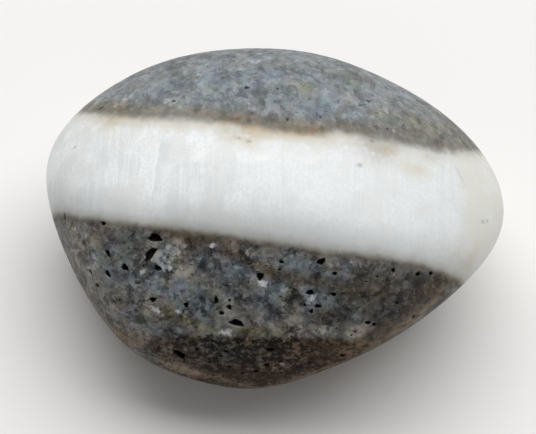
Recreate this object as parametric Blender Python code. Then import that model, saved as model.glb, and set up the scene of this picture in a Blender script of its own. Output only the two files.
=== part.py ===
"""River pebble: one worn, lopsided oval stone of dark grey rock, crossed by a white quartz vein.

Run with: blender --background --python part.py

The stone lies on a small worn flat at z = 0, with its length along X and its height along Z.
Its form is an ellipsoid about a core point, ground back by broad worn faces. A worn face is
given by the way it looks, as an azimuth and an elevation, and by its distance from the core.
The azimuth is counted from +X towards +Y, so -90 degrees is the front of the stone.
Everything is measured from the core in millimetres until the finished mesh is scaled.
"""
import bmesh
import bpy
import numpy as np
from mathutils import Matrix, Vector

MM = 0.001

# The body: half sizes of the ellipsoid, and where its core lies over the middle of the base.
HALF_LENGTH = 24.2
HALF_DEPTH = 18.8
HALF_HEIGHT = 12.4
CORE = Vector((-0.92, -0.91, 10.6))

# The worn faces, in the order in which they cut the body. A blend near 9 leaves a broad
# shoulder where a face meets the stone, one near 13 a shoulder about 5 mm wide, and one near
# 28 an edge that is worn round by a millimetre.
SHOULDER_BLEND = 9.0
FRONT_BLEND = 13.0
LEDGE_BLEND = 28.0
# Each face is (azimuth, elevation, distance).
LEFT_FLANK = (-155.0, -3.0, 19.9)
RIGHT_FLANK = (-50.0, -25.0, 17.3)
BACK_SHOULDER = (54.0, 28.0, 20.8)
UNDERSIDE = (0.0, -90.0, 11.3)
FRONT_FACE = (-98.0, 50.0, 12.9)
LOWER_LEFT = (-123.0, -45.0, 15.4)
LOWER_RIGHT = (-56.0, -45.0, 13.6)
UNDER_LEDGE = (-92.0, 15.0, 15.7)

# Long gentle swells left by wear: height, and waves around the stone along X, Y and Z.
SWELL_HEIGHT = 0.16
SWELL_WAVES = ((5.0, 4.0, 3.0), (-3.0, 6.0, 5.0), (7.0, -2.0, 4.0))

# The quartz vein fills the space between two nearly parallel planes, flush with the rock.
VEIN_BACK_PLANE = (83.5, 30.5, 9.0)
VEIN_FRONT_PLANE = (80.0, 22.0, -3.0)

# Pits in the grey rock: azimuth, elevation, length, width, and how far the length is turned
# from the stone's own length, seen from outside. A pit is as deep as PIT_DEPTH times its width.
PIT_DEPTH = 0.75
FRONT_FACE_PITS = (
    (-146.5, 36.5, 1.40, 0.75, 0),
    (-143.0, 31.5, 1.75, 0.70, 50),
    (-137.5, 29.0, 0.70, 0.60, 0),
    (-146.0, 24.0, 0.80, 0.60, -30),
    (-153.0, 24.0, 0.80, 0.40, -70),
    (-148.5, 19.5, 0.80, 0.50, -65),
    (-121.5, 21.5, 0.50, 0.50, 0),
    (-132.5, 19.5, 0.70, 0.50, 20),
    (-111.0, 26.0, 0.80, 0.40, 85),
    (-105.0, 24.5, 0.50, 0.50, 0),
    (-107.5, 22.0, 0.50, 0.40, 0),
    (-101.0, 19.5, 1.30, 0.70, -10),
    (-92.5, 37.5, 0.75, 0.70, 0),
    (-80.5, 43.5, 0.45, 0.40, 0),
    (-60.5, 40.5, 0.80, 0.60, 30),
    (-57.5, 35.0, 0.45, 0.40, 0),
    (-70.0, 30.5, 0.70, 0.50, 0),
    (-61.5, 28.5, 0.50, 0.40, 0),
    (-68.5, 25.5, 0.60, 0.40, 0),
    (-71.5, 24.0, 0.40, 0.40, 0),
    (-39.0, 28.0, 0.45, 0.40, 0),
    (-34.0, 23.0, 0.50, 0.40, 0),
    (-31.0, 20.5, 0.45, 0.40, 0),
    (-55.0, 17.5, 0.60, 0.40, 0),
    (-53.5, 16.5, 0.40, 0.40, 0),
)
FLANK_PITS = (
    (-153.0, 15.5, 0.80, 0.40, -55),
    (-149.0, 14.0, 0.50, 0.40, -30),
    (-172.0, 16.0, 0.80, 0.50, -70),
    (-162.0, 28.0, 0.50, 0.40, 0),
    (-42.0, 12.5, 0.50, 0.40, 0),
    (-150.0, -25.0, 0.60, 0.40, 0),
)
UNDER_LEDGE_PITS = (
    (-118.0, 4.3, 1.75, 0.75, -50),
    (-88.0, 10.0, 1.00, 0.50, 0),
    (-89.5, 2.0, 0.70, 0.50, 0),
    (-93.0, -1.0, 0.60, 0.40, 0),
    (-64.5, 6.0, 0.60, 0.45, 0),
    (-85.0, -38.0, 0.70, 0.50, 0),
    (-120.0, -30.0, 0.90, 0.50, 20),
)
BACK_PITS = (
    (101.5, 51.0, 0.60, 0.50, 0),
    (140.0, 42.0, 0.50, 0.40, 0),
    (152.0, 21.5, 0.80, 0.40, 0),
    (38.0, 37.5, 0.50, 0.40, 0),
    (80.0, 20.0, 0.60, 0.45, 10),
    (58.0, -8.0, 0.80, 0.45, 30),
    (130.0, 12.0, 0.50, 0.40, 40),
)
PITS = FRONT_FACE_PITS + FLANK_PITS + UNDER_LEDGE_PITS + BACK_PITS

# The mesh starts as an icosphere and is split wherever an edge strays from the true form.
START_SUBDIVISIONS = 4
SPLITTING_ROUNDS = 3
ALLOWED_STRAY = 0.035
# Edges this near the level of the resting flat are split too, so that its rim is round.
RIM_ZONE = 0.15
RIM_EDGE = 1.0
SMALLEST_EDGE = 0.05
SMOOTH_ANGLE = np.radians(35.0)


def looking(azimuth, elevation):
    """Return the unit vector that looks along an azimuth and an elevation in degrees."""
    around, up = np.radians(azimuth), np.radians(elevation)
    return np.array((np.cos(up) * np.cos(around), np.cos(up) * np.sin(around), np.sin(up)))


def cut_back(closeness, directions, faces, blend):
    """Blend worn faces into a form held as one over its radius in each direction."""
    total = closeness ** blend
    for azimuth, elevation, distance in faces:
        facing = np.maximum(0.0, directions @ looking(azimuth, elevation))
        total += (facing / distance) ** blend
    return total ** (1.0 / blend)


def stone_radius(directions):
    """Return the distance from the core to the surface along each unit direction."""
    half_sizes = np.array((HALF_LENGTH, HALF_DEPTH, HALF_HEIGHT))
    closeness = np.sqrt(((directions / half_sizes) ** 2).sum(axis=1))
    shoulders = (LEFT_FLANK, RIGHT_FLANK, BACK_SHOULDER, UNDERSIDE)
    closeness = cut_back(closeness, directions, shoulders, SHOULDER_BLEND)
    fronts = (FRONT_FACE, LOWER_LEFT, LOWER_RIGHT)
    closeness = cut_back(closeness, directions, fronts, FRONT_BLEND)
    closeness = cut_back(closeness, directions, (UNDER_LEDGE,), LEDGE_BLEND)
    swell = sum(np.sin(directions @ np.array(wave)) for wave in SWELL_WAVES)
    return 1.0 / closeness + SWELL_HEIGHT * swell / len(SWELL_WAVES)


def unit_rows(points):
    """Return the direction of each point from the core."""
    return points / np.linalg.norm(points, axis=1, keepdims=True)


def wear(mesh):
    """Move every vertex along its own direction onto the stone's surface."""
    directions = unit_rows(np.array([vertex.co for vertex in mesh.verts]))
    surface = directions * stone_radius(directions)[:, None]
    for vertex, point in zip(mesh.verts, surface):
        vertex.co = point


def edges_to_split(mesh):
    """Return the edges that stray from the true surface or are too long for the flat's rim."""
    edges = list(mesh.edges)
    ends = np.array([[end.co for end in edge.verts] for edge in edges])
    middles = ends.mean(axis=1)
    depth = stone_radius(unit_rows(middles)) - np.linalg.norm(middles, axis=1)
    above_flat = ends[:, :, 2] + CORE.z
    by_rim = (above_flat.min(axis=1) < RIM_ZONE) & (above_flat.max(axis=1) > -RIM_ZONE)
    long = np.linalg.norm(ends[:, 1] - ends[:, 0], axis=1) > RIM_EDGE
    chosen = (np.abs(depth) > ALLOWED_STRAY) | (by_rim & long)
    return [edge for edge, split in zip(edges, chosen) if split]


def mesh_of_stone():
    """Return the worn body as triangles, finer where the surface bends more sharply."""
    mesh = bmesh.new()
    bmesh.ops.create_icosphere(mesh, subdivisions=START_SUBDIVISIONS, radius=1.0)
    wear(mesh)
    for _ in range(SPLITTING_ROUNDS):
        bmesh.ops.subdivide_edges(mesh, edges=edges_to_split(mesh), cuts=1)
        bmesh.ops.triangulate(mesh, faces=mesh.faces[:])
        wear(mesh)
    return mesh


def everything(mesh):
    """Return all that a mesh is made of, as Blender's cutting tools want it."""
    return mesh.verts[:] + mesh.edges[:] + mesh.faces[:]


def grind_resting_flat(mesh):
    """Cut the stone off level where it rests, and close the cut with one flat face."""
    foot = Vector((0.0, 0.0, -CORE.z))
    cut = bmesh.ops.bisect_plane(
        mesh, geom=everything(mesh), plane_co=foot, plane_no=(0.0, 0.0, 1.0), clear_inner=True)
    rim = [item for item in cut["geom_cut"] if isinstance(item, bmesh.types.BMEdge)]
    bmesh.ops.edgeloop_fill(mesh, edges=rim)


def mark_vein(mesh):
    """Give the faces between the vein's two planes the second material, along clean lines."""
    planes = []
    for azimuth, elevation, distance in (VEIN_BACK_PLANE, VEIN_FRONT_PLANE):
        normal = Vector(looking(azimuth, elevation))
        bmesh.ops.bisect_plane(
            mesh, geom=everything(mesh), plane_co=normal * distance, plane_no=normal)
        planes.append((normal, distance))
    (back_normal, back_distance), (front_normal, front_distance) = planes
    for face in mesh.faces:
        middle = face.calc_center_median()
        before_back = middle.dot(back_normal) < back_distance
        behind_front = middle.dot(front_normal) > front_distance
        face.material_index = int(before_back and behind_front)


def finish_mesh(mesh, name):
    """Turn a mesh measured from the core in millimetres into one in metres, in its place."""
    bmesh.ops.triangulate(mesh, faces=mesh.faces[:])
    mesh.transform(Matrix.Scale(MM, 4) @ Matrix.Translation(CORE))
    data = bpy.data.meshes.new(name)
    mesh.to_mesh(data)
    mesh.free()
    return data


def pit_frame(azimuth, elevation, turn):
    """Return a matrix whose X and Y lie along a pit's length and width, and Z points out."""
    step = 0.01
    outward = looking(azimuth, elevation)
    level = np.cross((0.0, 0.0, 1.0), outward)
    level /= np.linalg.norm(level)
    upward = np.cross(outward, level)
    nearby = unit_rows(np.array((outward, outward + step * level, outward + step * upward)))
    middle, beside, above = nearby * stone_radius(nearby)[:, None]
    normal = Vector(np.cross(beside - middle, above - middle)).normalized()
    along = (Vector((1.0, 0.0, 0.0)) - normal * normal.x).normalized()
    across = normal.cross(along)
    axes = Matrix((along, across, normal)).transposed().to_4x4()
    return Matrix.Translation(Vector(middle)) @ axes @ Matrix.Rotation(np.radians(turn), 4, "Z")


def mesh_of_pits():
    """Return the shapes that cut the pits: one small ellipsoid on the surface for each."""
    mesh = bmesh.new()
    for azimuth, elevation, length, width, turn in PITS:
        half_sizes = Vector((length / 2.0, width / 2.0, PIT_DEPTH * width))
        place = pit_frame(azimuth, elevation, turn) @ Matrix.Diagonal(half_sizes.to_4d())
        bmesh.ops.create_icosphere(mesh, subdivisions=2, radius=1.0, matrix=place)
    return mesh


def stone_material(name, colour, roughness):
    """Return a plain material with one colour and one roughness."""
    material = bpy.data.materials.new(name)
    material.use_nodes = True
    shader = material.node_tree.nodes["Principled BSDF"]
    shader.inputs["Base Color"].default_value = (*colour, 1.0)
    shader.inputs["Roughness"].default_value = roughness
    shader.inputs["Metallic"].default_value = 0.0
    return material


def add_object(name, data):
    """Put a mesh into the scene under a name."""
    thing = bpy.data.objects.new(name, data)
    bpy.context.scene.collection.objects.link(thing)
    return thing


def build():
    """Clear the scene and build the pebble."""
    for old in list(bpy.data.objects):
        bpy.data.objects.remove(old)

    stone = mesh_of_stone()
    grind_resting_flat(stone)
    mark_vein(stone)
    bmesh.ops.remove_doubles(stone, verts=stone.verts[:], dist=SMALLEST_EDGE)
    pebble = add_object("pebble", finish_mesh(stone, "pebble"))
    pebble.data.materials.append(stone_material("grey rock", (0.085, 0.088, 0.088), 0.62))
    pebble.data.materials.append(stone_material("white quartz", (0.78, 0.78, 0.74), 0.45))
    pebble.data.shade_smooth()
    pebble.data.set_sharp_from_angle(angle=SMOOTH_ANGLE)

    pits = add_object("pit_cutters", finish_mesh(mesh_of_pits(), "pit_cutters"))
    pits.hide_render = True
    pits.display_type = "WIRE"
    cut = pebble.modifiers.new("pits", "BOOLEAN")
    cut.operation = "DIFFERENCE"
    cut.solver = "EXACT"
    cut.object = pits


build()
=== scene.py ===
"""The looks of the river pebble: worn dark grey rock crossed by a band of white quartz.

The stone's form is the one that its CAD solid has: an ellipsoid about a core point, ground back
by broad worn faces. Here it is a fine mesh with pits and grain relief, and one node material
for rock and quartz. A place on the stone is given by the azimuth and elevation at which it is
seen from the core, in degrees, and sizes on it are in millimetres. The azimuth is counted
from +X towards +Y, so -90 degrees is the front. Colours are linear red, green and blue.
"""

import bmesh
import bpy
import numpy as np
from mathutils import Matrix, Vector, noise


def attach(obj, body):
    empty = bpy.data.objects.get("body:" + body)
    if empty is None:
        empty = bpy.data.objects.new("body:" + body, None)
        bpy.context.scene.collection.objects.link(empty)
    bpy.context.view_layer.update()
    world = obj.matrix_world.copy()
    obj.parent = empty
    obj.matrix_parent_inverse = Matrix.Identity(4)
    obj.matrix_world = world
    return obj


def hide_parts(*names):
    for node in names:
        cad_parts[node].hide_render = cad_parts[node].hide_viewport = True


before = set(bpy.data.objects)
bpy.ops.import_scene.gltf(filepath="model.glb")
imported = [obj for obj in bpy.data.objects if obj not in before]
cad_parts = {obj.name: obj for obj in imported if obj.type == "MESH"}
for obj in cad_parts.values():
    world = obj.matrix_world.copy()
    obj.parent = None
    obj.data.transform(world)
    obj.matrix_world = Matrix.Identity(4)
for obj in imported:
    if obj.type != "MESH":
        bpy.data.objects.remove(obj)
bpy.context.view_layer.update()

MM = 0.001

# ---- the form
# The ellipsoid's half sizes along X, Y and Z, and the core's place in the part's frame.
HALF_SIZES = np.array((24.2, 18.8, 12.4))
CORE = np.array((-0.92, -0.91, 10.6))

# Worn faces as (azimuth, elevation, distance from the core), in groups of one blend each. The
# higher the blend, the sharper the edges round the group's faces.
LEFT_FLANK = (-155.0, -3.0, 19.9)
RIGHT_FLANK = (-50.0, -25.0, 17.3)
BACK_SHOULDER = (54.0, 28.0, 20.8)
UNDERSIDE = (0.0, -90.0, 11.3)
FRONT_FACE = (-98.0, 50.0, 12.9)
LOWER_LEFT = (-123.0, -45.0, 15.4)
LOWER_RIGHT = (-56.0, -45.0, 13.6)
UNDER_LEDGE = (-92.0, 15.0, 15.7)
FACE_GROUPS = (
    (9.0, (LEFT_FLANK, RIGHT_FLANK, BACK_SHOULDER, UNDERSIDE)),
    (13.0, (FRONT_FACE, LOWER_LEFT, LOWER_RIGHT)),
    (28.0, (UNDER_LEDGE,)),
)
# Long gentle swells all over the stone: their height, and the wave vector of each.
SWELL_HEIGHT = 0.16
SWELL_WAVES = ((5.0, 4.0, 3.0), (-3.0, 6.0, 5.0), (7.0, -2.0, 4.0))

# The quartz vein lies between two planes: azimuth, elevation, distance from the core. Each of
# its sides swells out of its plane in places: middle along X, width, height.
VEIN_BACK = (
    (83.5, 30.5, 9.0),
    ((-5.5, 5.0, 0.45), (2.8, 2.6, 0.15), (8.0, 2.4, 0.5), (12.6, 4.0, 0.24), (16.5, 4.0, -0.35)),
)
VEIN_FRONT = (
    (80.0, 22.0, -3.0),
    ((-17.3, 1.2, -0.22), (-13.0, 4.5, -0.28), (11.0, 3.5, 0.32), (14.6, 1.3, 0.26),
     (20.5, 2.2, -0.6)),
)

# The mesh starts as a sphere of this fineness. In two rounds, edges near small spots are split
# where they are longer than these lengths. The reach is a share of a spot's half length.
SPHERE_FINENESS = 7
LONGEST_NEAR_SPOTS = (0.26, 0.13)
SPLIT_REACH = 1.1

# Grain relief: worn grains stand a few hundredths of a millimetre proud of the rock, and less
# so on the quartz. Each layer is (height, waves per millimetre, shift of the pattern).
RELIEF_LAYERS = ((0.03, 1.1, (0.0, 0.0, 0.0)), (0.018, 2.6, (7.0, 3.0, 1.0)))
RELIEF_ON_QUARTZ = 0.4

# ---- the pits
# Each pit is (azimuth, elevation, length, width, turn of its length from the stone's length).
# Its depth is a share of its width.
PIT_DEPTH = 0.75
# A pit's outline is uneven: waves round it, and how far each moves it, as a share of its size.
OUTLINE_WAVES = ((2, 0.07), (3, 0.13), (5, 0.07))
OUTLINE_SEED = 25
FULL_TURN = 6.28
# No pit reaches further from its middle than this, as a share of its half length.
PIT_REACH = 1.7
PITS = (
    # on the front face
    (-146.5, 36.5, 1.4, 0.75, 0),
    (-143.0, 31.5, 1.75, 0.7, 50),
    (-137.5, 29.0, 0.7, 0.6, 0),
    (-146.0, 24.0, 0.8, 0.6, -30),
    (-153.0, 24.0, 0.8, 0.4, -70),
    (-148.5, 19.5, 0.8, 0.5, -65),
    (-121.5, 21.5, 0.5, 0.5, 0),
    (-132.5, 19.5, 0.7, 0.5, 20),
    (-111.0, 26.0, 0.8, 0.4, 85),
    (-105.0, 24.5, 0.5, 0.5, 0),
    (-107.5, 22.0, 0.5, 0.4, 0),
    (-101.0, 19.5, 1.3, 0.7, -10),
    (-92.5, 37.5, 0.75, 0.7, 0),
    (-80.5, 43.5, 0.45, 0.4, 0),
    (-60.5, 40.5, 0.8, 0.6, 30),
    (-57.5, 35.0, 0.45, 0.4, 0),
    (-70.0, 30.5, 0.7, 0.5, 0),
    (-61.5, 28.5, 0.5, 0.4, 0),
    (-68.5, 25.5, 0.6, 0.4, 0),
    (-71.5, 24.0, 0.4, 0.4, 0),
    (-39.0, 28.0, 0.45, 0.4, 0),
    (-34.0, 23.0, 0.5, 0.4, 0),
    (-31.0, 20.5, 0.45, 0.4, 0),
    (-55.0, 17.5, 0.6, 0.4, 0),
    (-53.5, 16.5, 0.4, 0.4, 0),
    # on the flanks
    (-153.0, 15.5, 0.8, 0.4, -55),
    (-149.0, 14.0, 0.5, 0.4, -30),
    (-172.0, 16.0, 0.8, 0.5, -70),
    (-162.0, 28.0, 0.5, 0.4, 0),
    (-42.0, 12.5, 0.5, 0.4, 0),
    (-150.0, -25.0, 0.6, 0.4, 0),
    # under the ledge
    (-118.0, 4.5, 1.75, 0.75, -50),
    (-88.0, 10.0, 1.0, 0.5, 0),
    (-89.5, 2.0, 0.7, 0.5, 0),
    (-93.0, -1.0, 0.6, 0.4, 0),
    (-64.5, 6.0, 0.6, 0.45, 0),
    (-85.0, -38.0, 0.7, 0.5, 0),
    (-120.0, -30.0, 0.9, 0.5, 20),
    # on the back
    (101.5, 51.0, 0.6, 0.5, 0),
    (140.0, 42.0, 0.5, 0.4, 0),
    (152.0, 21.5, 0.8, 0.4, 0),
    (38.0, 37.5, 0.5, 0.4, 0),
    (80.0, 20.0, 0.6, 0.45, 10),
    (58.0, -8.0, 0.8, 0.45, 30),
    (130.0, 12.0, 0.5, 0.4, 40),
)
# Fine pores: some under the ledge, and others strewn over the rock on both sides of the vein.
LEDGE_PORES = (
    (-103.5, 8.5, 0.55, 0.32, 0),
    (-105.0, 6.0, 0.36, 0.28, 0),
    (-84.5, 4.0, 0.5, 0.28, 10),
    (-108.5, 2.5, 0.5, 0.26, 0),
    (-97.5, -2.0, 0.4, 0.28, 0),
    (-113.0, 8.0, 0.36, 0.26, 0),
    (-75.0, 3.0, 0.4, 0.26, 0),
    (-59.5, 15.5, 0.26, 0.22, 0),
    (-61.0, 14.5, 0.28, 0.22, 30),
)
PORE_SEED = 11
PORE_COUNTS = {"front": 85, "back": 40}
# A strewn pore's width, and its length as a share of its width, lie between two values.
PORE_WIDTHS = (0.12, 0.26)
PORE_STRETCHES = (1.0, 1.7)
# The strewn pores begin this far off the vein.
CLEAR_IN_FRONT = 0.5
CLEAR_BEHIND = 0.6

# ---- the patches
# Each patch is (azimuth, elevation, length, width, turn, strength). It fades outwards from its
# middle and ends at the reach, which is a share of its half length.
PATCH_FADE = 0.7
PATCH_REACH = 2.4
# The ring is strong along its rim and weaker inside.
RING_SHARPNESS = 3.6
RING_INSIDE = 0.5
PATCHES = {}
# white crystals
PATCHES["pale"] = (
    (-141.0, 26.0, 0.7, 0.6, 0, 1.0),
    (-138.0, 33.5, 1.3, 1.0, 20, 0.6),
    (-135.5, 30.5, 1.2, 0.8, 0, 0.6),
    (-129.5, 17.0, 1.4, 0.6, -35, 0.9),
    (-123.0, 18.5, 0.6, 0.4, -20, 1.0),
    (-104.0, 16.0, 1.4, 0.8, -10, 0.9),
    (-122.5, 46.0, 0.6, 0.5, 0, 1.0),
    (-91.0, 34.5, 1.1, 0.7, -10, 0.85),
    (-70.0, 28.5, 1.2, 0.9, 25, 0.75),
    (-81.0, 32.5, 0.8, 0.8, 0, 0.6),
    (-68.5, 17.5, 1.3, 1.0, 20, 0.42),
    (-75.0, 17.0, 6.0, 1.0, 0, 0.3),
    (-153.5, 19.5, 1.8, 0.6, -70, 0.5),
    (120.5, 36.5, 0.9, 1.3, 0, 0.6),
    (101.5, 37.5, 1.2, 1.5, 0, 0.5),
    (94.5, 34.0, 1.9, 1.1, 0, 0.6),
    (146.5, 27.5, 0.9, 1.2, 0, 0.65),
    (140.5, 40.0, 1.1, 1.2, 0, 0.6),
    (109.5, 53.0, 0.9, 1.2, 0, 0.45),
    (105.0, 60.5, 0.9, 0.8, 0, 0.45),
    (29.5, 36.5, 1.2, 1.2, 0, 0.5),
    (-112.0, 9.5, 0.7, 0.6, 0, 0.5),
    (-40.5, 27.2, 0.6, 0.5, 0, 0.6),
    (18.0, 37.5, 1.1, 0.7, 0, 0.7),
    (-49.0, 36.5, 0.5, 0.5, 0, 0.6),
    (-150.0, 29.5, 0.5, 0.5, 0, 0.5),
)
# blue-grey ground
PATCHES["blue"] = (
    (-131.5, 25.5, 4.0, 2.0, 0, 0.9),
    (-141.0, 27.5, 4.0, 2.4, 0, 0.7),
    (-121.5, 38.5, 3.0, 1.4, 0, 0.8),
    (-106.0, 39.0, 2.6, 1.4, 0, 0.9),
    (-89.5, 32.0, 4.0, 2.2, 0, 0.8),
    (-75.5, 43.0, 2.4, 1.6, 0, 0.7),
    (-60.0, 33.0, 3.6, 2.0, 0, 1.0),
    (-67.5, 34.0, 5.0, 3.0, 0, 0.5),
    (-63.0, 28.0, 3.0, 1.4, 0, 1.0),
    (-110.0, 26.0, 4.0, 2.0, 0, 0.6),
    (-122.0, 26.5, 2.6, 1.8, 0, 0.8),
    (-93.5, 49.0, 2.4, 1.4, 0, 0.6),
    (-82.5, 33.5, 2.4, 1.1, 0, 0.7),
    (-103.0, 9.0, 5.0, 2.6, 0, 1.0),
    (-151.5, 24.5, 4.0, 2.4, 0, 1.1),
    (95.0, 45.0, 14.0, 4.0, 0, 0.6),
    (51.0, 56.0, 5.0, 3.0, 0, 0.7),
    (36.0, 47.5, 4.4, 2.2, 0, 0.45),
)
# brown stains
PATCHES["brown"] = (
    (-161.0, 26.5, 3.5, 1.6, 0, 0.8),
    (-140.0, 44.5, 2.4, 1.2, 0, 0.8),
    (-134.5, 46.0, 4.4, 1.3, -10, 1.0),
    (-139.0, 42.5, 4.0, 1.6, -10, 0.9),
    (-117.5, 48.5, 2.0, 1.0, -20, 0.7),
    (-101.5, 44.5, 2.6, 1.0, -35, 0.9),
    (-88.0, 40.5, 3.0, 0.9, -25, 0.9),
    (-76.0, 37.0, 4.0, 1.1, -10, 1.1),
    (-57.5, 29.5, 1.9, 1.1, -20, 1.0),
    (-47.5, 26.5, 2.6, 1.8, -20, 0.8),
    (-68.0, 11.5, 4.0, 1.4, 0, 0.9),
    (-31.0, 15.0, 4.0, 3.0, 20, 1.3),
    (-52.0, 27.0, 3.0, 1.6, 0, 0.8),
    (-64.0, 33.5, 1.8, 0.8, 0, 0.9),
    (-134.0, 4.0, 4.0, 2.6, 20, 1.3),
    (-48.0, 13.0, 5.0, 1.8, 30, 0.9),
    (-52.5, 13.0, 3.0, 1.6, 30, 0.9),
    (-70.0, 6.0, 5.0, 3.4, 0, 0.7),
    (-93.0, -5.0, 9.0, 2.8, 0, 1.4),
    (-121.0, 6.0, 3.0, 2.4, 0, 0.8),
    (-94.5, 18.0, 2.4, 1.2, 0, 0.5),
    (18.0, 19.0, 7.0, 6.0, 0, 0.15),
)
# darker ground
PATCHES["dark"] = (
    (-45.0, 24.0, 6.4, 3.8, -10, 1.4),
    (-36.0, 19.5, 4.0, 2.8, -20, 0.75),
    (-45.0, 12.5, 8.0, 2.4, 34, 0.95),
    (-153.5, 28.0, 5.0, 2.2, 0, 0.55),
    (-133.0, 25.0, 2.6, 1.4, 0, 0.2),
    (-62.0, 28.0, 6.0, 3.0, 0, 0.15),
    (50.0, 60.0, 5.0, 1.2, 0, 0.25),
    (24.0, 40.0, 8.0, 3.0, 0, 0.2),
    (20.0, 27.0, 7.0, 4.0, 0, 0.12),
    (17.5, 33.5, 3.0, 1.4, 0, 0.3),
    (-67.5, 20.5, 4.2, 2.0, 0, 1.0),
    (-51.5, 12.5, 4.2, 2.0, 30, 1.1),
    (-93.0, -6.0, 8.0, 2.0, 0, 0.4),
    (-72.0, 37.0, 3.0, 1.0, 0, 0.25),
    (-76.0, 37.0, 4.0, 1.1, -10, 0.7),
    (-57.5, 29.5, 2.2, 1.3, -20, 1.0),
    (-48.0, 27.0, 3.0, 1.8, -20, 0.75),
    (-134.5, 46.0, 4.4, 1.3, -10, 0.75),
    (-139.0, 43.0, 3.6, 1.4, -10, 0.35),
    (-126.0, 17.5, 1.8, 1.1, -45, 0.75),
    (-94.5, 18.0, 2.4, 1.0, 0, 0.45),
    (-143.5, 18.5, 1.8, 1.3, 0, 0.25),
    (-153.0, 31.0, 2.2, 1.6, 0, 0.25),
    (-119.0, 9.0, 2.6, 2.0, 0, 0.4),
    (-103.0, 8.5, 4.6, 2.6, 0, 0.25),
    (16.0, 40.0, 6.0, 1.2, 0, 0.15),
    (25.0, 19.0, 5.0, 3.5, 0, 0.13),
    (25.5, 40.0, 2.4, 1.0, 0, 0.35),
    (-62.0, 31.0, 3.0, 2.4, 0, 0.3),
    (-119.0, 44.5, 3.4, 1.2, -10, 0.5),
    (-130.0, 40.0, 2.4, 1.6, 0, 0.3),
    (-84.5, 35.0, 2.0, 1.6, 0, 0.4),
    (-87.0, 24.0, 3.0, 1.4, 0, 0.3),
    (-108.5, 30.5, 3.2, 1.6, 0, 0.2),
    (-123.0, 33.0, 4.0, 2.4, 0, 0.15),
    (-43.5, 17.0, 3.0, 1.4, 30, 0.6),
    (-36.0, 17.5, 3.0, 1.6, 30, 0.7),
    (-52.0, 13.5, 4.0, 1.4, 30, 0.35),
)
# lighter ground, and painted highlight along the ledge's upper edge
PATCHES["light"] = (
    (-159.5, 17.0, 5.0, 2.6, -60, 0.8),
    (-143.0, 10.0, 5.0, 2.4, -50, 0.25),
    (150.0, 26.0, 4.0, 3.0, 0, 0.4),
    (150.5, 17.0, 4.0, 3.4, 0, 0.45),
    (26.0, 35.5, 3.0, 1.8, 0, 0.45),
    (22.5, 29.5, 3.0, 1.8, 0, 0.25),
    (143.0, 45.0, 6.0, 1.6, 0, 0.3),
    # these two are painted highlight along the ledge's upper edge
    (-84.0, 20.5, 3.2, 1.2, 0, 0.5),
    (-74.0, 18.5, 4.4, 1.2, 0, 0.6),
    (-62.5, 16.5, 3.4, 1.2, 10, 0.2),
    (-137.0, 31.5, 3.4, 2.4, 0, 0.25),
    (-137.5, 20.5, 3.6, 2.4, 0, 0.25),
    (-122.0, 26.5, 2.6, 1.8, 0, 0.17),
    (-93.5, 49.0, 2.4, 1.4, 0, 0.17),
    (-82.5, 33.5, 2.4, 1.1, 0, 0.17),
    (-77.5, 18.5, 3.2, 1.4, 0, 0.15),
    (-158.5, 18.0, 3.0, 2.4, 0, 0.5),
    (-136.0, 33.5, 3.2, 2.8, 0, 0.62),
    (-100.0, 45.0, 2.2, 1.0, -30, 0.5),
    (113.0, 68.0, 4.0, 1.6, 0, 0.45),
    (41.0, 66.5, 4.0, 1.4, 0, 0.45),
    (-151.5, 24.5, 3.0, 2.0, 0, 0.14),
    (-62.0, 31.5, 6.0, 4.0, 0, 0.2),
    (-67.5, 34.0, 5.0, 3.4, 0, 0.12),
    (-59.5, 9.5, 3.6, 1.7, 20, 1.0),
    (34.0, 46.5, 4.0, 2.1, 0, 0.42),
    (15.0, 34.0, 2.0, 0.9, 0, 0.3),
)
# yellow-green stains
PATCHES["olive"] = (
    (-118.5, 17.0, 2.4, 1.0, -20, 0.9),
    (-108.5, 16.0, 2.0, 1.0, 0, 0.7),
    (-94.0, 17.0, 3.6, 0.9, 0, 1.0),
    (-126.0, 17.5, 1.8, 1.0, -45, 0.6),
    (-108.5, 30.5, 2.8, 1.6, 0, 0.25),
    (-143.5, 18.5, 1.6, 1.2, 0, 0.25),
    (69.5, 49.5, 3.4, 2.2, 0, 0.3),
    (66.5, 47.0, 0.9, 0.8, 0, 0.4),
    (51.5, 30.5, 3.0, 2.8, 0, 0.32),
    (150.0, 26.0, 3.5, 2.0, 0, 0.25),
    (20.0, 27.0, 7.0, 4.0, 0, 0.16),
    (24.0, 18.5, 5.0, 4.0, 0, 0.12),
)
# pale brown wear along the lower edges, partly painted bounce light from the floor along the lower
# outline
PATCHES["worn"] = (
    (-121.5, -0.5, 2.0, 0.9, -25, 1.0),
    (-117.0, -2.0, 2.2, 1.1, -20, 1.2),
    (-112.5, -3.0, 2.4, 0.9, -16, 1.0),
    (-106.0, -5.5, 3.0, 0.6, -12, 0.4),
    (-60.5, 9.5, 2.4, 1.0, 20, 0.4),
    (-98.0, -8.5, 3.4, 0.5, -8, 0.4),
    (-78.0, -5.0, 3.4, 0.5, 14, 0.6),
    (-68.5, -0.5, 3.4, 0.5, 22, 0.6),
    (-54.5, 12.5, 2.6, 0.8, 30, 0.15),
    (-48.0, 13.0, 3.4, 1.0, 34, 0.25),
    (-46.5, 11.5, 3.0, 0.8, 34, 0.9),
    (-41.0, 11.5, 3.0, 0.8, 34, 0.9),
    (-35.5, 12.0, 3.0, 0.8, 34, 0.9),
)
# the pale ring near the ledge's right end
PATCHES["ring"] = (
    (-59.5, 15.5, 1.35, 1.05, 20, 0.8),
)
# clusters of rounded grains
PATCHES["grainy"] = (
    (-135.5, 33.5, 3.2, 2.8, 0, 1.4),
    (-86.5, 4.0, 2.4, 1.6, 0, 0.7),
    (-79.0, 20.0, 6.0, 2.0, 0, 0.3),
    (-42.0, 24.0, 6.0, 3.0, 0, 0.15),
    (-120.0, 8.0, 3.0, 2.0, 0, 0.3),
)
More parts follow.
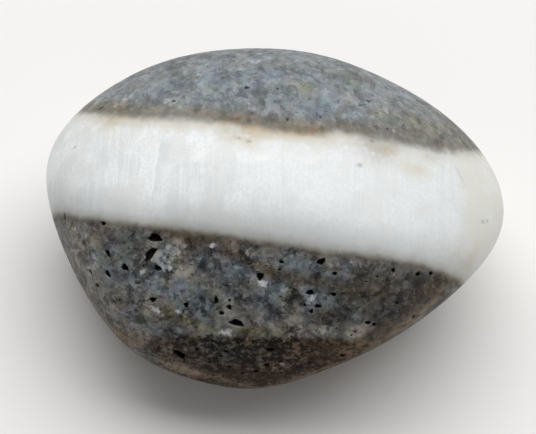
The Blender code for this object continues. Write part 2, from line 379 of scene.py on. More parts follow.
# rust along the stained line and on the lower right edge
PATCHES["rust"] = (
    (123.0, 66.0, 2.2, 0.9, 0, 0.9),
    (125.0, 63.5, 1.8, 0.9, 0, 0.4),
    (114.0, 68.5, 1.6, 0.9, 0, 0.7),
    (44.0, 67.5, 3.4, 0.9, 0, 1.1),
    (31.0, 61.0, 1.6, 0.6, 0, 0.6),
    (155.5, 29.5, 2.6, 0.7, 0, 0.6),
    (106.0, 74.5, 3.4, 1.3, 0, 0.75),
    (40.0, 69.5, 3.6, 0.9, 0, 0.5),
    (8.5, 43.0, 1.0, 0.7, 0, 0.6),
    (-59.5, 9.5, 3.8, 1.6, 20, 1.3),
    (-31.5, 17.5, 2.6, 2.0, 0, 0.35),
    (-135.0, 46.5, 3.6, 0.9, -10, 0.2),
)
# grey-brown smears in the quartz
PATCHES["dusk"] = (
    (13.0, 44.5, 3.6, 2.4, 0, 1.0),
    (15.0, 44.5, 2.6, 1.2, 0, 0.65),
    (13.5, 49.5, 2.6, 1.4, 0, 0.1),
    (12.5, 39.0, 2.4, 1.2, 0, 0.35),
    (19.0, 59.0, 3.4, 1.8, 0, 0.25),
    (7.5, 43.5, 2.6, 2.0, 0, 0.3),
    (2.5, 46.5, 2.4, 1.6, 0, 0.2),
    (131.5, 71.0, 2.6, 1.4, 0, 0.4),
    (6.5, 30.0, 1.8, 1.4, 0, 0.3),
    (-22.0, 20.0, 4.0, 3.0, 0, 0.28),
)
# bright flecks in the quartz
PATCHES["bright"] = (
    (170.0, 89.0, 2.0, 1.0, 0, 0.8),
    (175.0, 64.0, 1.8, 1.0, 0, 0.7),
    (0.0, 71.0, 1.6, 0.9, 0, 0.6),
    (-45.0, 66.0, 1.4, 0.8, 0, 0.5),
)
# yellow haze in the quartz
PATCHES["ivory"] = (
    (157.0, 31.5, 3.6, 1.6, 0, 0.6),
    (156.5, 29.0, 3.4, 1.6, 0, 0.7),
    (120.5, 73.5, 3.6, 1.8, 0, 1.3),
    (131.5, 71.0, 2.4, 1.8, 0, 0.9),
    (133.5, 81.0, 1.4, 1.2, 0, 0.5),
    (62.0, 72.5, 4.0, 1.2, 0, 0.5),
    (43.0, 69.5, 3.6, 1.4, 0, 0.9),
    (12.0, 42.5, 2.2, 1.4, 20, 0.25),
    (7.5, 43.5, 2.6, 1.8, 0, 0.2),
    (4.0, 42.0, 2.0, 1.2, 20, 0.3),
    (1.0, 35.0, 2.4, 1.5, 0, 0.8),
    (6.5, 30.5, 1.6, 1.6, 0, 0.8),
    (-2.0, 52.0, 1.0, 0.8, 0, 0.3),
    (-20.5, 12.0, 3.0, 3.0, 0, 0.9),
    (-23.5, 17.0, 2.0, 1.6, 0, 0.5),
)
# dark spots along the stained line
PATCHES["spots"] = (
    (109.5, 69.5, 0.5, 0.6, 0, 1.0),
    (103.5, 66.0, 0.4, 0.4, 0, 1.2),
    (122.5, 66.0, 0.9, 0.3, 0, 0.6),
    (153.0, 23.0, 0.45, 0.45, 0, 0.6),
    (150.0, 24.5, 0.45, 0.36, 0, 0.6),
    (148.5, 23.5, 0.36, 0.36, 0, 0.5),
    (79.0, 70.0, 0.3, 0.3, 0, 0.6),
    (34.0, 60.5, 0.4, 0.5, 0, 0.8),
    (30.5, 55.0, 0.45, 0.36, 0, 0.6),
    (24.0, 53.0, 0.5, 0.45, 0, 0.5),
    (20.0, 45.0, 0.45, 0.36, 0, 0.5),
    (15.5, 32.5, 0.7, 0.45, 0, 0.6),
    (13.5, 26.5, 0.5, 0.45, 0, 0.6),
    (14.0, 46.5, 0.4, 0.4, 0, 0.5),
)
# dark dots and scratches in the quartz
PATCHES["dots"] = (
    (167.5, 21.0, 0.3, 0.34, 0, 0.8),
    (138.5, 75.0, 0.4, 0.28, 0, 0.8),
    (129.5, 79.0, 0.5, 0.3, 0, 0.9),
    (-2.0, 52.0, 0.44, 0.38, 0, 0.8),
    (-8.5, 14.5, 0.5, 0.36, 0, 0.7),
    (-7.5, 13.0, 0.3, 0.3, 0, 0.7),
    (3.5, 22.5, 0.9, 0.24, -60, 0.35),
    (1.0, 21.5, 0.9, 0.22, -60, 0.35),
)

# ---- the colours
# The rock's ground, each from its darkest grains to its lightest.
# The front's ground and grains are darker than the back's partly as painted shade, for the front
# faces away from the light.
FRONT_ROCK_AND_SHADE = ((0.008, 0.0085, 0.008), (0.23, 0.233, 0.237))
BACK_ROCK = ((0.08, 0.091, 0.098), (0.325, 0.352, 0.37))
# The ground under the ledge is darker partly as painted shade.
BROWN_ROCK_AND_SHADE = ((0.008, 0.0041, 0.002), (0.148, 0.111, 0.081))
FRONT_GRAINS_AND_SHADE = (0.29, 0.3, 0.3)
BACK_GRAINS = (0.47, 0.49, 0.5)
# The flanks are paler partly as painted light.
FLANK_ROCK_AND_LIGHT = (0.146, 0.139, 0.128)
# Tints multiply the colour under them.
WARM_TINT = (1.07, 1.0, 0.88)
COOL_TINT = (0.94, 1.0, 1.06)
PURPLE_TINT = (1.02, 0.98, 1.026)
GREEN_TINT = (0.98, 1.019, 0.973)
# The flank tint lightens partly as painted light.
FLANK_TINT_AND_LIGHT = (1.25, 1.17, 1.09)
# Lighter ground, and painted highlight along the ledge's edge.
LIGHTER_AND_HIGHLIGHT_TINT = (1.9, 1.86, 1.8)
BLUE_TINT = (0.92, 1.04, 1.15)
BLUE_TINT_UNDER_LEDGE = (0.82, 0.98, 1.2)
BROWN_TINT = (1.02, 0.8, 0.58)
OLIVE_TINT = (1.3, 1.12, 0.56)
DARK_TINT = (0.345, 0.32, 0.295)
FOOT_TINT = (0.78, 0.62, 0.5)
STAIN_TINT = (0.86, 0.73, 0.58)
BESIDE_STAIN_TINT = (0.95, 0.91, 0.82)
# What is painted on the rock.
# Dark brown under the ledge, partly painted shade.
BROWN_AND_SHADE_UNDER_LEDGE = (0.058, 0.03, 0.015)
GLINT = (0.175, 0.16, 0.142)
# Worn lower edges, partly painted bounce light from the floor.
WORN_EDGE_AND_BOUNCE_LIGHT = (0.245, 0.188, 0.138)
PALE_RING = (0.44, 0.4, 0.33)
ROUNDED_GRAIN = (0.4, 0.39, 0.36)
PALE_CRYSTAL = (0.55, 0.56, 0.57)
FRONT_SPECK = (0.006, 0.006, 0.006)
BACK_SPECK = (0.06, 0.065, 0.07)
BACK_SEAM = (0.25, 0.226, 0.178)
FRONT_SEAM = (0.108, 0.087, 0.056)
ROCK_RUST = (0.205, 0.13, 0.07)
# The quartz and what is painted on it.
RIGHT_QUARTZ = (0.828, 0.853, 0.858)
LEFT_QUARTZ = (0.915, 0.94, 0.942)
STREAK = (0.755, 0.785, 0.795)
VEIL = (0.735, 0.755, 0.745)
FLECK = (0.9, 0.92, 0.92)
THIN_STREAK = (0.7, 0.73, 0.74)
SUGAR = (0.7, 0.72, 0.72)
BRIGHT_FLECK = (0.93, 0.94, 0.93)
YELLOWER_QUARTZ = (0.72, 0.71, 0.64)
IVORY = (0.64, 0.59, 0.48)
BACK_HAZE = (0.68, 0.66, 0.58)
LEFT_BACK_EDGE = (0.6, 0.57, 0.48)
RIGHT_BACK_EDGE = (0.58, 0.57, 0.52)
DUSK = (0.49, 0.475, 0.43)
QUARTZ_RUST = (0.5, 0.38, 0.23)
# Partly painted shade, partly the dark rock seen through the quartz's thin front edge.
FRONT_SHADE = (0.44, 0.46, 0.455)
FRONT_EDGE = (0.335, 0.325, 0.29)
BESIDE_CRACK = (0.6, 0.63, 0.64)
CRACK_LINE = (0.92, 0.94, 0.95)
DARK_DOT = (0.3, 0.28, 0.23)
# What is painted on both.
DARK_SPOT = (0.105, 0.08, 0.063)
# Painted shade: the pits are painted nearly black towards their floors.
PIT_SHADE = (0.004, 0.003, 0.003)

# ---- the patterns
# Each noise is (waves per millimetre, detail, roughness).
BLOTCHES = (0.32, 2.0, 0.5)
MOTTLE = (0.95, 5.0, 0.66)
GRAIN = (4.5, 2.0, 0.6)
UNEVENNESS = (2.2, 3.0, 0.6)
CLOUDS = (0.55, 4.0, 0.6)
VEILS = (0.33, 3.0, 0.55)
FLECKS = (1.5, 3.0, 0.6)
SUGARY_GRAIN = (4.0, 3.0, 0.7)
# Crystals and streaks are in waves per millimetre. Streaks have them along X, Y and Z.
COARSE_CRYSTALS = 1.4
FINE_CRYSTALS = 2.9
STREAK_WAVES = (1.9, 0.14, 0.14)
THIN_STREAK_WAVES = (5.0, 0.35, 0.35)
# Places along X where a change begins and where it is complete, from the core.
RIGHT_PART = (9.0, 14.0)
BROWN_FROM = (-15.0, -6.0)
BESIDE_STAIN_FROM = (7.0, 11.0)
WHITEST_FROM = (4.0, -8.0)
YELLOWER_FROM = (18.5, 19.9)
# The healed crack's place along X.
CRACK = -10.35

# ---- the gloss
ROCK_ROUGHNESS = 0.52
QUARTZ_ROUGHNESS = 0.46
FRONT_GLOSS = 0.3
GLOSS_UNDER_LEDGE = 0.12
BACK_GLOSS = 0.4
QUARTZ_GLOSS = 0.5
BUMP_HEIGHT = 0.08 * MM

# ---- the studio
# The floor, the softbox and the nearest distance seen are in metres. The rest is in millimetres.
FLOOR_HALF_SIZE = 2.0
FLOOR_COLOUR = (0.91, 0.895, 0.88)
SOFTBOX_TOWARDS = (0.12, 0.38, 0.92)
SOFTBOX_DISTANCE = 1.2
SOFTBOX_SIZE = (1.8, 1.0)
SOFTBOX_POWER = 17.0
SURROUNDING_LIGHT = 0.25
CAMERA_ELEVATION = 62.0
CAMERA_DISTANCE = 200.0
# What the camera aims at, across and up its picture from the core.
CAMERA_AIM = (0.31, 0.24)
CAMERA_LENS = 134.33
CAMERA_SENSOR = 36.0
NEAREST_SEEN = 0.01


def looking(azimuth, elevation):
    """Return the unit vector that looks along an azimuth and an elevation in degrees."""
    around, up = np.radians(azimuth), np.radians(elevation)
    return np.array((np.cos(up) * np.cos(around), np.cos(up) * np.sin(around), np.sin(up)))


def unit_rows(points):
    """Return the rows of points at length one."""
    return points / np.linalg.norm(points, axis=1, keepdims=True)


def blended_faces(directions, chosen=None):
    """Return one over the distance from the core to the surface, along each unit direction.

    Also return how far the chosen worn face makes up the surface there, from 0 to 1.
    """
    closeness = np.sqrt(((directions / HALF_SIZES) ** 2).sum(axis=1))
    share = np.zeros(len(directions))
    for blend, faces in FACE_GROUPS:
        total = closeness ** blend
        share *= total
        for face in faces:
            azimuth, elevation, distance = face
            facing = np.maximum(0.0, directions @ looking(azimuth, elevation)) / distance
            total += facing ** blend
            if face == chosen:
                share += facing ** blend
        share /= total
        closeness = total ** (1.0 / blend)
    return closeness, share


def face_share(directions, face):
    """Return how far one worn face makes up the surface in each direction, from 0 to 1."""
    _, share = blended_faces(directions, face)
    return share


def on_stone(directions):
    """Return the smooth stone's surface point in each direction, in millimetres from the core."""
    closeness, _ = blended_faces(directions)
    swell = sum(np.sin(directions @ np.array(wave)) for wave in SWELL_WAVES)
    radius = 1.0 / closeness + SWELL_HEIGHT * swell / len(SWELL_WAVES)
    return directions * radius[:, None]


def points_and_normals(directions):
    """Return the smooth stone's surface point and outward normal in each direction."""
    step = 0.01
    guide = (0.36, 0.48, 0.8)
    aside = unit_rows(np.cross(directions, guide))
    above = np.cross(directions, aside)
    middle = on_stone(directions)
    first = on_stone(unit_rows(directions + step * aside)) - middle
    second = on_stone(unit_rows(directions + step * above)) - middle
    return middle, unit_rows(np.cross(first, second))


def beyond_side(points, side):
    """Return how far points lie behind one side of the vein."""
    (azimuth, elevation, distance), swells = side
    gap = points @ looking(azimuth, elevation) - distance
    for middle, width, height in swells:
        gap -= height * np.exp(-((points[:, 0] - middle) / width) ** 2)
    return gap


class Spot:
    """An oval place on the stone: its middle, its two axes and its size."""

    def __init__(self, azimuth, elevation, length, width, turn):
        points, normals = points_and_normals(looking(azimuth, elevation)[None])
        self.middle, self.normal = points[0], normals[0]
        lengthwise = np.array((1.0, 0.0, 0.0)) - self.normal * self.normal[0]
        lengthwise /= np.linalg.norm(lengthwise)
        turned = np.radians(turn)
        sideways = np.cross(self.normal, lengthwise)
        self.along = np.cos(turned) * lengthwise + np.sin(turned) * sideways
        self.across = np.cross(self.normal, self.along)
        self.half_length = length / 2.0
        self.half_width = width / 2.0

    def reach(self, points, limit):
        """Return the points within limit half lengths of the middle, and how far out each lies.

        Also return the angle round the middle at which each lies. The edge is at 1.
        """
        offsets = points - self.middle
        near = np.flatnonzero((offsets ** 2).sum(axis=1) < (limit * self.half_length) ** 2)
        out_along = offsets[near] @ self.along / self.half_length
        out_across = offsets[near] @ self.across / self.half_width
        return near, np.hypot(out_along, out_across), np.arctan2(out_across, out_along)


def rock_beside_vein(point):
    """Return on which side of the vein a point lies, or None on the vein and close to it."""
    if beyond_side(point, VEIN_FRONT)[0] < -CLEAR_IN_FRONT:
        return "front"
    if beyond_side(point, VEIN_BACK)[0] > CLEAR_BEHIND:
        return "back"
    return None


def strewn_pores():
    """Return small pits at random places on the rock, most of them in front of the vein."""
    random = np.random.default_rng(PORE_SEED)
    narrowest, widest = PORE_WIDTHS
    pores = []
    wanted = dict(PORE_COUNTS)
    while any(wanted.values()):
        direction = unit_rows(random.normal(size=(1, 3)))
        side = rock_beside_vein(on_stone(direction))
        if not wanted.get(side):
            continue
        wanted[side] -= 1
        x, y, z = direction[0]
        width = narrowest + (widest - narrowest) * random.random() ** 2
        pores.append((
            np.degrees(np.arctan2(y, x)), np.degrees(np.arcsin(z)),
            width * random.uniform(*PORE_STRETCHES), width, random.uniform(-90.0, 90.0)))
    return pores


def split_near(mesh, spots, longest):
    """Split the mesh's edges near the spots in two where they are longer than longest."""
    edges = list(mesh.edges)
    ends = np.array([[end.co for end in edge.verts] for edge in edges])
    points = on_stone(unit_rows(ends.reshape(-1, 3))).reshape(-1, 2, 3)
    middles = points.mean(axis=1)
    lengths = np.linalg.norm(points[:, 0] - points[:, 1], axis=1)
    near = np.zeros(len(edges), bool)
    for spot in spots:
        offsets = ((middles - spot.middle) ** 2).sum(axis=1)
        near |= offsets < (spot.half_length * SPLIT_REACH + longest) ** 2
    chosen = [edges[number] for number in np.flatnonzero(near & (lengths > longest))]
    bmesh.ops.subdivide_edges(mesh, edges=chosen, cuts=1)
    bmesh.ops.triangulate(mesh, faces=mesh.faces[:])
    for vertex in mesh.verts:
        vertex.co.normalize()


def sphere_finer_near(spots):
    """Return the mesh of a unit sphere that is finer where small spots lie on the stone."""
    mesh = bmesh.new()
    bmesh.ops.create_icosphere(mesh, subdivisions=SPHERE_FINENESS, radius=1.0)
    for longest in LONGEST_NEAR_SPOTS:
        split_near(mesh, spots, longest)
    data = bpy.data.meshes.new("pebble_stone")
    mesh.to_mesh(data)
    mesh.free()
    return data


def form_fields(directions, smooth):
    """Return what the material reads of the form: the vein's sides, the ledge and the flanks."""
    under_ledge = face_share(directions, UNDER_LEDGE)
    front_face = face_share(directions, FRONT_FACE)
    flanks = sum(
        face_share(directions, face)
        for face in (LEFT_FLANK, LOWER_LEFT, RIGHT_FLANK, LOWER_RIGHT))
    return {
        "vein_back": beyond_side(smooth, VEIN_BACK),
        "vein_front": beyond_side(smooth, VEIN_FRONT),
        "under_ledge": under_ledge,
        "past_edge": under_ledge / (under_ledge + front_face + 1e-6),
        "flank": np.minimum(1.0, flanks),
    }


def grain_relief(smooth, on_vein):
    """Return how far each point of the surface stands out or in with the worn grains."""
    relief = np.array([
        sum(height * noise.noise(point * scale + Vector(shift))
            for height, scale, shift in RELIEF_LAYERS)
        for point in map(Vector, smooth)])
    return relief * np.where(on_vein, RELIEF_ON_QUARTZ, 1.0)


def press_pits(points, smooth, pits):
    """Press pits into points: steep walls, a rounded floor and an uneven outline.

    Return how deep in a pit each point lies, from 0 to 1.
    """
    random = np.random.default_rng(OUTLINE_SEED)
    hole = np.zeros(len(points))
    for pit in pits:
        near, out, angle = pit.reach(smooth, PIT_REACH)
        for waves, depth in OUTLINE_WAVES:
            out = out * (1.0 + depth * np.sin(waves * angle + random.uniform(0.0, FULL_TURN)))
        share = np.sqrt(np.clip(1.0 - out ** 3, 0.0, 1.0))
        points[near] -= pit.normal * (2.0 * pit.half_width * PIT_DEPTH * share)[:, None]
        hole[near] = np.maximum(hole[near], share)
    return hole


def patch_field(name, smooth):
    """Return how strong the patches of one name are at each point of the surface."""
    field = np.zeros(len(smooth))
    for *place, strength in PATCHES[name]:
        near, out, _ = Spot(*place).reach(smooth, PATCH_REACH)
        if name == "ring":
            rim = np.exp(-(RING_SHARPNESS * (out - 1.0)) ** 2)
            field[near] += strength * np.maximum(rim, RING_INSIDE * (out < 1.0))
        else:
            field[near] += strength * np.exp(-PATCH_FADE * out ** 2)
    return field


def build_stone():
    """Return the stone's mesh in metres, with pits, grain relief and what its material reads."""
    pits = [Spot(*pit) for pit in (*PITS, *LEDGE_PORES, *strewn_pores())]
    small_marks = [Spot(*mark) for *mark, _ in (*PATCHES["spots"], *PATCHES["dots"])]
    data = sphere_finer_near(pits + small_marks)

    directions = np.empty(len(data.vertices) * 3)
    data.vertices.foreach_get("co", directions)
    directions = unit_rows(directions.reshape(-1, 3))
    smooth, normals = points_and_normals(directions)
    fields = form_fields(directions, smooth)
    on_vein = (fields["vein_back"] < 0.0) & (fields["vein_front"] > 0.0)
    points = smooth + normals * grain_relief(smooth, on_vein)[:, None]
    fields["hole"] = press_pits(points, smooth, pits)
    for name in PATCHES:
        fields[name] = patch_field(name, smooth)

    # The resting flat: nothing reaches below the level on which the stone lies.
    points[:, 2] = np.maximum(points[:, 2], -CORE[2])
    data.vertices.foreach_set("co", ((points + CORE) * MM).ravel())
    for name, field in fields.items():
        layer = data.attributes.new(name, "FLOAT", "POINT")
        layer.data.foreach_set("value", field.astype(np.float32))
    data.shade_smooth()
    data.update()
    return data


class Shader:
    """Adds nodes to one material. A value or colour is a socket, a number or a tuple."""

    def __init__(self, name):
        self.material = bpy.data.materials.new(name)
        self.material.use_nodes = True
        self.tree = self.material.node_tree
        self.surface = self.tree.nodes["Principled BSDF"]

    def node(self, kind, inputs=(), output=0, **settings):
        """Add a node, set or link its inputs, and return one of its outputs."""
        made = self.tree.nodes.new("ShaderNode" + kind)
        for name, setting in settings.items():
            setattr(made, name, setting)
        for socket, value in dict(inputs).items():
            self.feed(value, made.inputs[socket])
        return made.outputs[output]

    def feed(self, value, socket):
        """Link an output to a socket, or set the socket to a plain value."""
        if isinstance(value, bpy.types.NodeSocket):
            self.tree.links.new(value, socket)
        elif isinstance(value, tuple) and socket.type == "RGBA":
            socket.default_value = (*value, 1.0)
        else:
            socket.default_value = value

    def set_surface(self, name, value):
        """Feed one input of the surface."""
        self.feed(value, self.surface.inputs[name])

    def attribute(self, name):
        """Return a value that the mesh carries."""
        return self.node("Attribute", output="Fac", attribute_name=name)

    def math(self, operation, first, second=0.0):
        """Return the result of one sum."""
        return self.node("Math", {0: first, 1: second}, operation=operation)

    def total(self, *values):
        """Return the sum of several values."""
        result = values[0]
        for value in values[1:]:
            result = self.math("ADD", result, value)
        return result

    def times(self, *values):
        """Return the product of several values."""
        product = values[0]
        for value in values[1:]:
            product = self.math("MULTIPLY", product, value)
        return product

    def weighted(self, *terms):
        """Return the sum of several values, each times its weight."""
        return self.total(*(self.times(value, weight) for value, weight in terms))

    def grow(self, value, start, end):
        """Return 0 below start and 1 above end, with a smooth rise. It falls if end < start."""
        return self.node(
            "MapRange", {"Value": value, "From Min": start, "From Max": end},
            interpolation_type="SMOOTHSTEP")

    def blend(self, factor, first, second):
        """Return a number between two."""
        return self.node("Mix", {0: factor, 2: first, 3: second}, data_type="FLOAT")

    def noise(self, place, scale, detail=2.0, roughness=0.5):
        """Return soft noise about 0.5."""
        return self.node("TexNoise", {
            "Vector": place, "Scale": scale, "Detail": detail, "Roughness": roughness})

    def centred(self, value):
        """Return a value about 0.5 as one about 0."""
        return self.math("SUBTRACT", value, 0.5)

    def crystals(self, place, scale):
        """Return a value from 0 to 1 that is even inside each cell of a crystal pattern."""
        cells = self.node("TexVoronoi", {"Vector": place, "Scale": scale}, output="Color")
        return self.node("SeparateColor", {0: cells})

    def stretched(self, place, scales):
        """Return a place with its three coordinates scaled."""
        return self.node("VectorMath", {0: place, 1: scales}, operation="MULTIPLY")

    def mix(self, factor, first, second, blend="MIX"):
        """Return a colour between two, or their blend."""
        return self.node(
            "Mix", {0: factor, 6: first, 7: second}, output=2, data_type="RGBA", blend_type=blend)

    def paint(self, colour, over, *strengths):
        """Return a colour painted over with another, as far as the strengths say."""
        return self.mix(self.times(*strengths), colour, over)

    def tint(self, colour, tint, *strengths):
        """Return a colour multiplied by a tint, as far as the strengths say."""
        return self.paint(colour, self.mix(1.0, colour, tint, "MULTIPLY"), *strengths)


class StoneShader(Shader):
    """The stone's material: the patterns that its layers share, and a method for each layer.

    Lengths are in millimetres, and places are counted from the core.
    """

    def __init__(self):
        super().__init__("banded stone")
        metres = self.node("TexCoord", output="Object")
        self.place = self.node(
            "VectorMath", {0: metres, 1: (1.0 / MM,) * 3, 2: tuple(-CORE)}, operation="MULTIPLY_ADD")
        self.along, self.across, self.above = (
            self.node("SeparateXYZ", {0: self.place}, output=axis) for axis in range(3))
        self.right = self.grow(self.along, *RIGHT_PART)
        self.rust = self.attribute("rust")
        self.clouds = self.noise(self.place, *CLOUDS)
        self.streaks = self.noise(self.stretched(self.place, STREAK_WAVES), 1.0, 3.0, 0.6)
        self.lay_out_vein()
        self.lay_out_grains()
        self.lay_out_ledge()

    def lay_out_vein(self):
        """Find where the quartz is. Both of its sides are a little ragged, with a soft edge."""
        self.ragged = self.centred(self.noise(self.place, 0.8))
        vein_back = self.attribute("vein_back")
        self.back = self.math("ADD", vein_back, self.times(self.ragged, 0.65))
        self.front = self.math("ADD", self.attribute("vein_front"), self.times(self.ragged, 0.5))
        self.quartz_mask = self.times(
            self.grow(self.back, 0.3, -0.7), self.grow(self.front, -0.62, 0.25))
        self.behind = self.grow(vein_back, -1.0, 1.0)
        self.past_middle = self.grow(vein_back, -3.0, -2.9)

    def lay_out_grains(self):
        """Lay out the rock's blotches, mottling, grain, and two sizes of uneven crystals.

        Behind the vein the grains lie lengthwise from front to back.
        """
        lengthwise = self.blend(self.past_middle, 1.0, 0.7)
        grained = self.stretched(
            self.place, self.node("CombineXYZ", {0: 1.0, 1: lengthwise, 2: 1.0}))
        bends = self.node(
            "TexNoise", {"Vector": grained, "Scale": 2.0, "Detail": 2.0}, output="Color")
        self.bent = self.node(
            "VectorMath", {0: bends, 1: (0.4, 0.4, 0.4), 2: grained}, operation="MULTIPLY_ADD")
        self.blotches = self.noise(self.place, *BLOTCHES)
        self.mottle = self.noise(grained, *MOTTLE)
        self.grain = self.noise(grained, *GRAIN)
        self.uneven = self.centred(self.noise(self.place, *UNEVENNESS))
        self.coarse = self.crystals(self.bent, COARSE_CRYSTALS)
        self.fine = self.crystals(self.bent, FINE_CRYSTALS)

    def lay_out_ledge(self):
        """Find the ground under the ledge. Its upper edge is crisp, and it fades out below."""
        ragged_edge = self.total(
            self.attribute("past_edge"), self.times(self.along, -0.02),
            self.times(self.ragged, 0.12))
        low_down = self.grow(self.above, 0.0, -3.5)
        patchy = self.centred(self.blotches)
        ragged_foot = self.total(
            self.attribute("under_ledge"), self.times(self.ragged, low_down, 0.8),
            self.times(patchy, low_down, 1.6))
        faded = self.grow(
            ragged_foot, self.blend(low_down, 0.12, 0.15), self.blend(low_down, 0.32, 0.95))
        self.under = self.times(self.grow(ragged_edge, 0.43, 0.57), faded)

    def grey_rock(self):
        """Return the rock's ground, which is lighter and softer behind the vein."""
        tone = self.weighted(
            (self.mottle, 0.95), (self.blotches, self.blend(self.behind, 0.8, 0.5)),
            (self.coarse, 0.24), (self.fine, self.blend(self.behind, 0.21, 0.14)),
            (self.grain, self.blend(self.behind, 0.27, 0.18)))
        # Painted shade: the rock in front of the vein is darker partly because it faces away from
        # the light.
        front_rock_and_shade = self.mix(self.grow(tone, 0.81, 1.68), *FRONT_ROCK_AND_SHADE)
        back_rock = self.mix(self.grow(tone, 0.55, 1.52), *BACK_ROCK)
        rock = self.mix(self.behind, front_rock_and_shade, back_rock)
        grains = self.times(self.grow(self.fine, 0.76, 0.92), self.grow(self.mottle, 0.42, 0.6))
        # The front's grains are darker too, partly as painted shade.
        grain_colour = self.mix(self.behind, FRONT_GRAINS_AND_SHADE, BACK_GRAINS)
        return self.paint(rock, grain_colour, grains, self.blend(self.behind, 0.4, 0.2))

    def brown_and_shade_under_ledge(self, rock):
        """Lay brown ground under the ledge, darker partly as painted shade."""
        tone = self.weighted(
            (self.mottle, 0.6), (self.coarse, 0.22), (self.fine, 0.25), (self.grain, 0.4))
        brown_rock_and_shade = self.mix(self.grow(tone, 0.6, 1.05), *BROWN_ROCK_AND_SHADE)
        return self.paint(rock, brown_rock_and_shade, self.under, self.grow(self.along, *BROWN_FROM))

    def hues_of_ground(self, rock):
        """Vary the hue of the ground, and lay browner flanks, made paler partly as painted light."""
        cool = self.grow(self.noise(self.place, 0.45, 3.0), 0.38, 0.62)
        hue = self.mix(cool, WARM_TINT, COOL_TINT)
        rock = self.tint(rock, hue, self.blend(self.behind, 1.0, 0.5))
        green = self.grow(self.noise(self.place, 0.8), 0.35, 0.65)
        rock = self.mix(1.0, rock, self.mix(green, PURPLE_TINT, GREEN_TINT), "MULTIPLY")
        # Painted light: the flanks are painted paler partly for the side light that falls on them.
        flank = self.times(self.attribute("flank"), self.grow(self.under, 1.0, 0.0))
        rock = self.paint(rock, FLANK_ROCK_AND_LIGHT, flank, 0.34)
        return self.tint(rock, FLANK_TINT_AND_LIGHT, flank)

    def patches_of_colour(self, rock):
        """Lay the light, blue, brown, olive and dark patches. Noise breaks some of them up."""
        broken = self.grow(self.noise(self.place, 0.9, 3.0), 0.25, 0.6)
        blue = self.attribute("blue")
        brown = self.attribute("brown")
        # The light patches are lighter ground, and painted highlight along the ledge's upper edge.
        rock = self.tint(rock, LIGHTER_AND_HIGHLIGHT_TINT, self.attribute("light"))
        rock = self.tint(rock, BLUE_TINT, blue, broken)
        rock = self.tint(rock, BLUE_TINT_UNDER_LEDGE, blue, self.under)
        rock = self.tint(rock, BROWN_TINT, brown, broken, self.blend(self.under, 1.0, 0.5))
        # Partly painted shade: the brown patches under the ledge are painted darker still.
        rock = self.paint(rock, BROWN_AND_SHADE_UNDER_LEDGE, brown, self.under, 0.45)
        rock = self.tint(rock, OLIVE_TINT, self.attribute("olive"), broken)
        return self.tint(rock, DARK_TINT, self.attribute("dark"))

    def glints_in_the_dark(self, rock):
        """Strew small lighter grains over the ground where it is dark."""
        glints = self.times(self.grow(self.fine, 0.6, 0.8), self.grow(self.grain, 0.42, 0.58))
        dark_ground = self.grow(self.total(self.attribute("dark"), self.under), 0.3, 1.0)
        in_front = self.grow(self.behind, 0.5, 0.0)
        return self.paint(rock, GLINT, glints, dark_ground, in_front, 0.3)

    def worn_foot(self, rock):
        """Lay the brown foot of the stone, its worn lower edges with painted bounce light, and the
        pale ring.

        The brown goes on from under the ledge, paler and broken.
        """
        foot = self.times(
            self.grow(self.above, 3.5, -4.0), self.grow(self.blotches, 0.25, 0.55),
            self.grow(self.behind, 0.9, 0.1), self.grow(self.under, 1.0, 0.0))
        rock = self.tint(rock, FOOT_TINT, foot)
        broken = self.grow(self.mottle, 0.3, 0.55)
        # Partly painted light: the worn lower edges also carry painted bounce light from the floor.
        rock = self.paint(rock, WORN_EDGE_AND_BOUNCE_LIGHT, self.attribute("worn"), broken)
        return self.paint(rock, PALE_RING, self.attribute("ring"), broken)

    def crystals_and_specks(self, rock):
        """Lay clusters of rounded grains, pale crystals with uneven edges, and dark specks."""
        lumps = self.node(
            "TexVoronoi", {"Vector": self.bent, "Scale": COARSE_CRYSTALS}, output="Distance")
        rounded = self.times(
            self.attribute("grainy"), self.grow(self.coarse, 0.35, 0.6), self.grow(lumps, 0.6, 0.2))
        rock = self.paint(rock, ROUNDED_GRAIN, rounded)
        pale = self.attribute("pale")
        crystal = self.grow(self.math("ADD", pale, self.times(self.uneven, 2.0)), 0.25, 1.1)
        rock = self.paint(rock, PALE_CRYSTAL, crystal, self.grow(pale, 0.03, 0.3))
        rarity = self.blend(self.under, 0.68, 0.61)
        speckled = self.noise(self.place, 3.0, 1.0)
        specks = self.grow(speckled, rarity, self.math("ADD", rarity, 0.045))
        return self.paint(rock, self.mix(self.behind, FRONT_SPECK, BACK_SPECK), specks, 0.7)

    def stained_lines(self, rock):
        """Lay the stained lines and the rust where the rock meets the quartz."""
        broken = self.grow(self.noise(self.place, 1.1, 3.0), 0.15, 0.45)
        stain = self.times(
            self.grow(self.back, 1.5, 0.6), broken, self.behind, self.blend(self.right, 1.0, 0.5))
        rock = self.tint(rock, STAIN_TINT, stain)
        beside = self.times(
            self.grow(self.back, 3.1, 2.3), self.grow(self.back, 0.5, 1.3),
            self.grow(self.along, *BESIDE_STAIN_FROM))
        rock = self.tint(rock, BESIDE_STAIN_TINT, beside)
        rock = self.paint(rock, BACK_SEAM, self.grow(self.back, 0.9, 0.1), self.behind, 0.6)
        front_seam = self.times(
            self.grow(self.front, -1.1, -0.3), self.grow(self.front, 1.0, 0.5),
            self.grow(self.mottle, 0.3, 0.6))
        rock = self.paint(rock, FRONT_SEAM, front_seam, 0.85)
        return self.paint(rock, ROCK_RUST, self.rust, self.grow(self.mottle, 0.38, 0.62), 0.75)

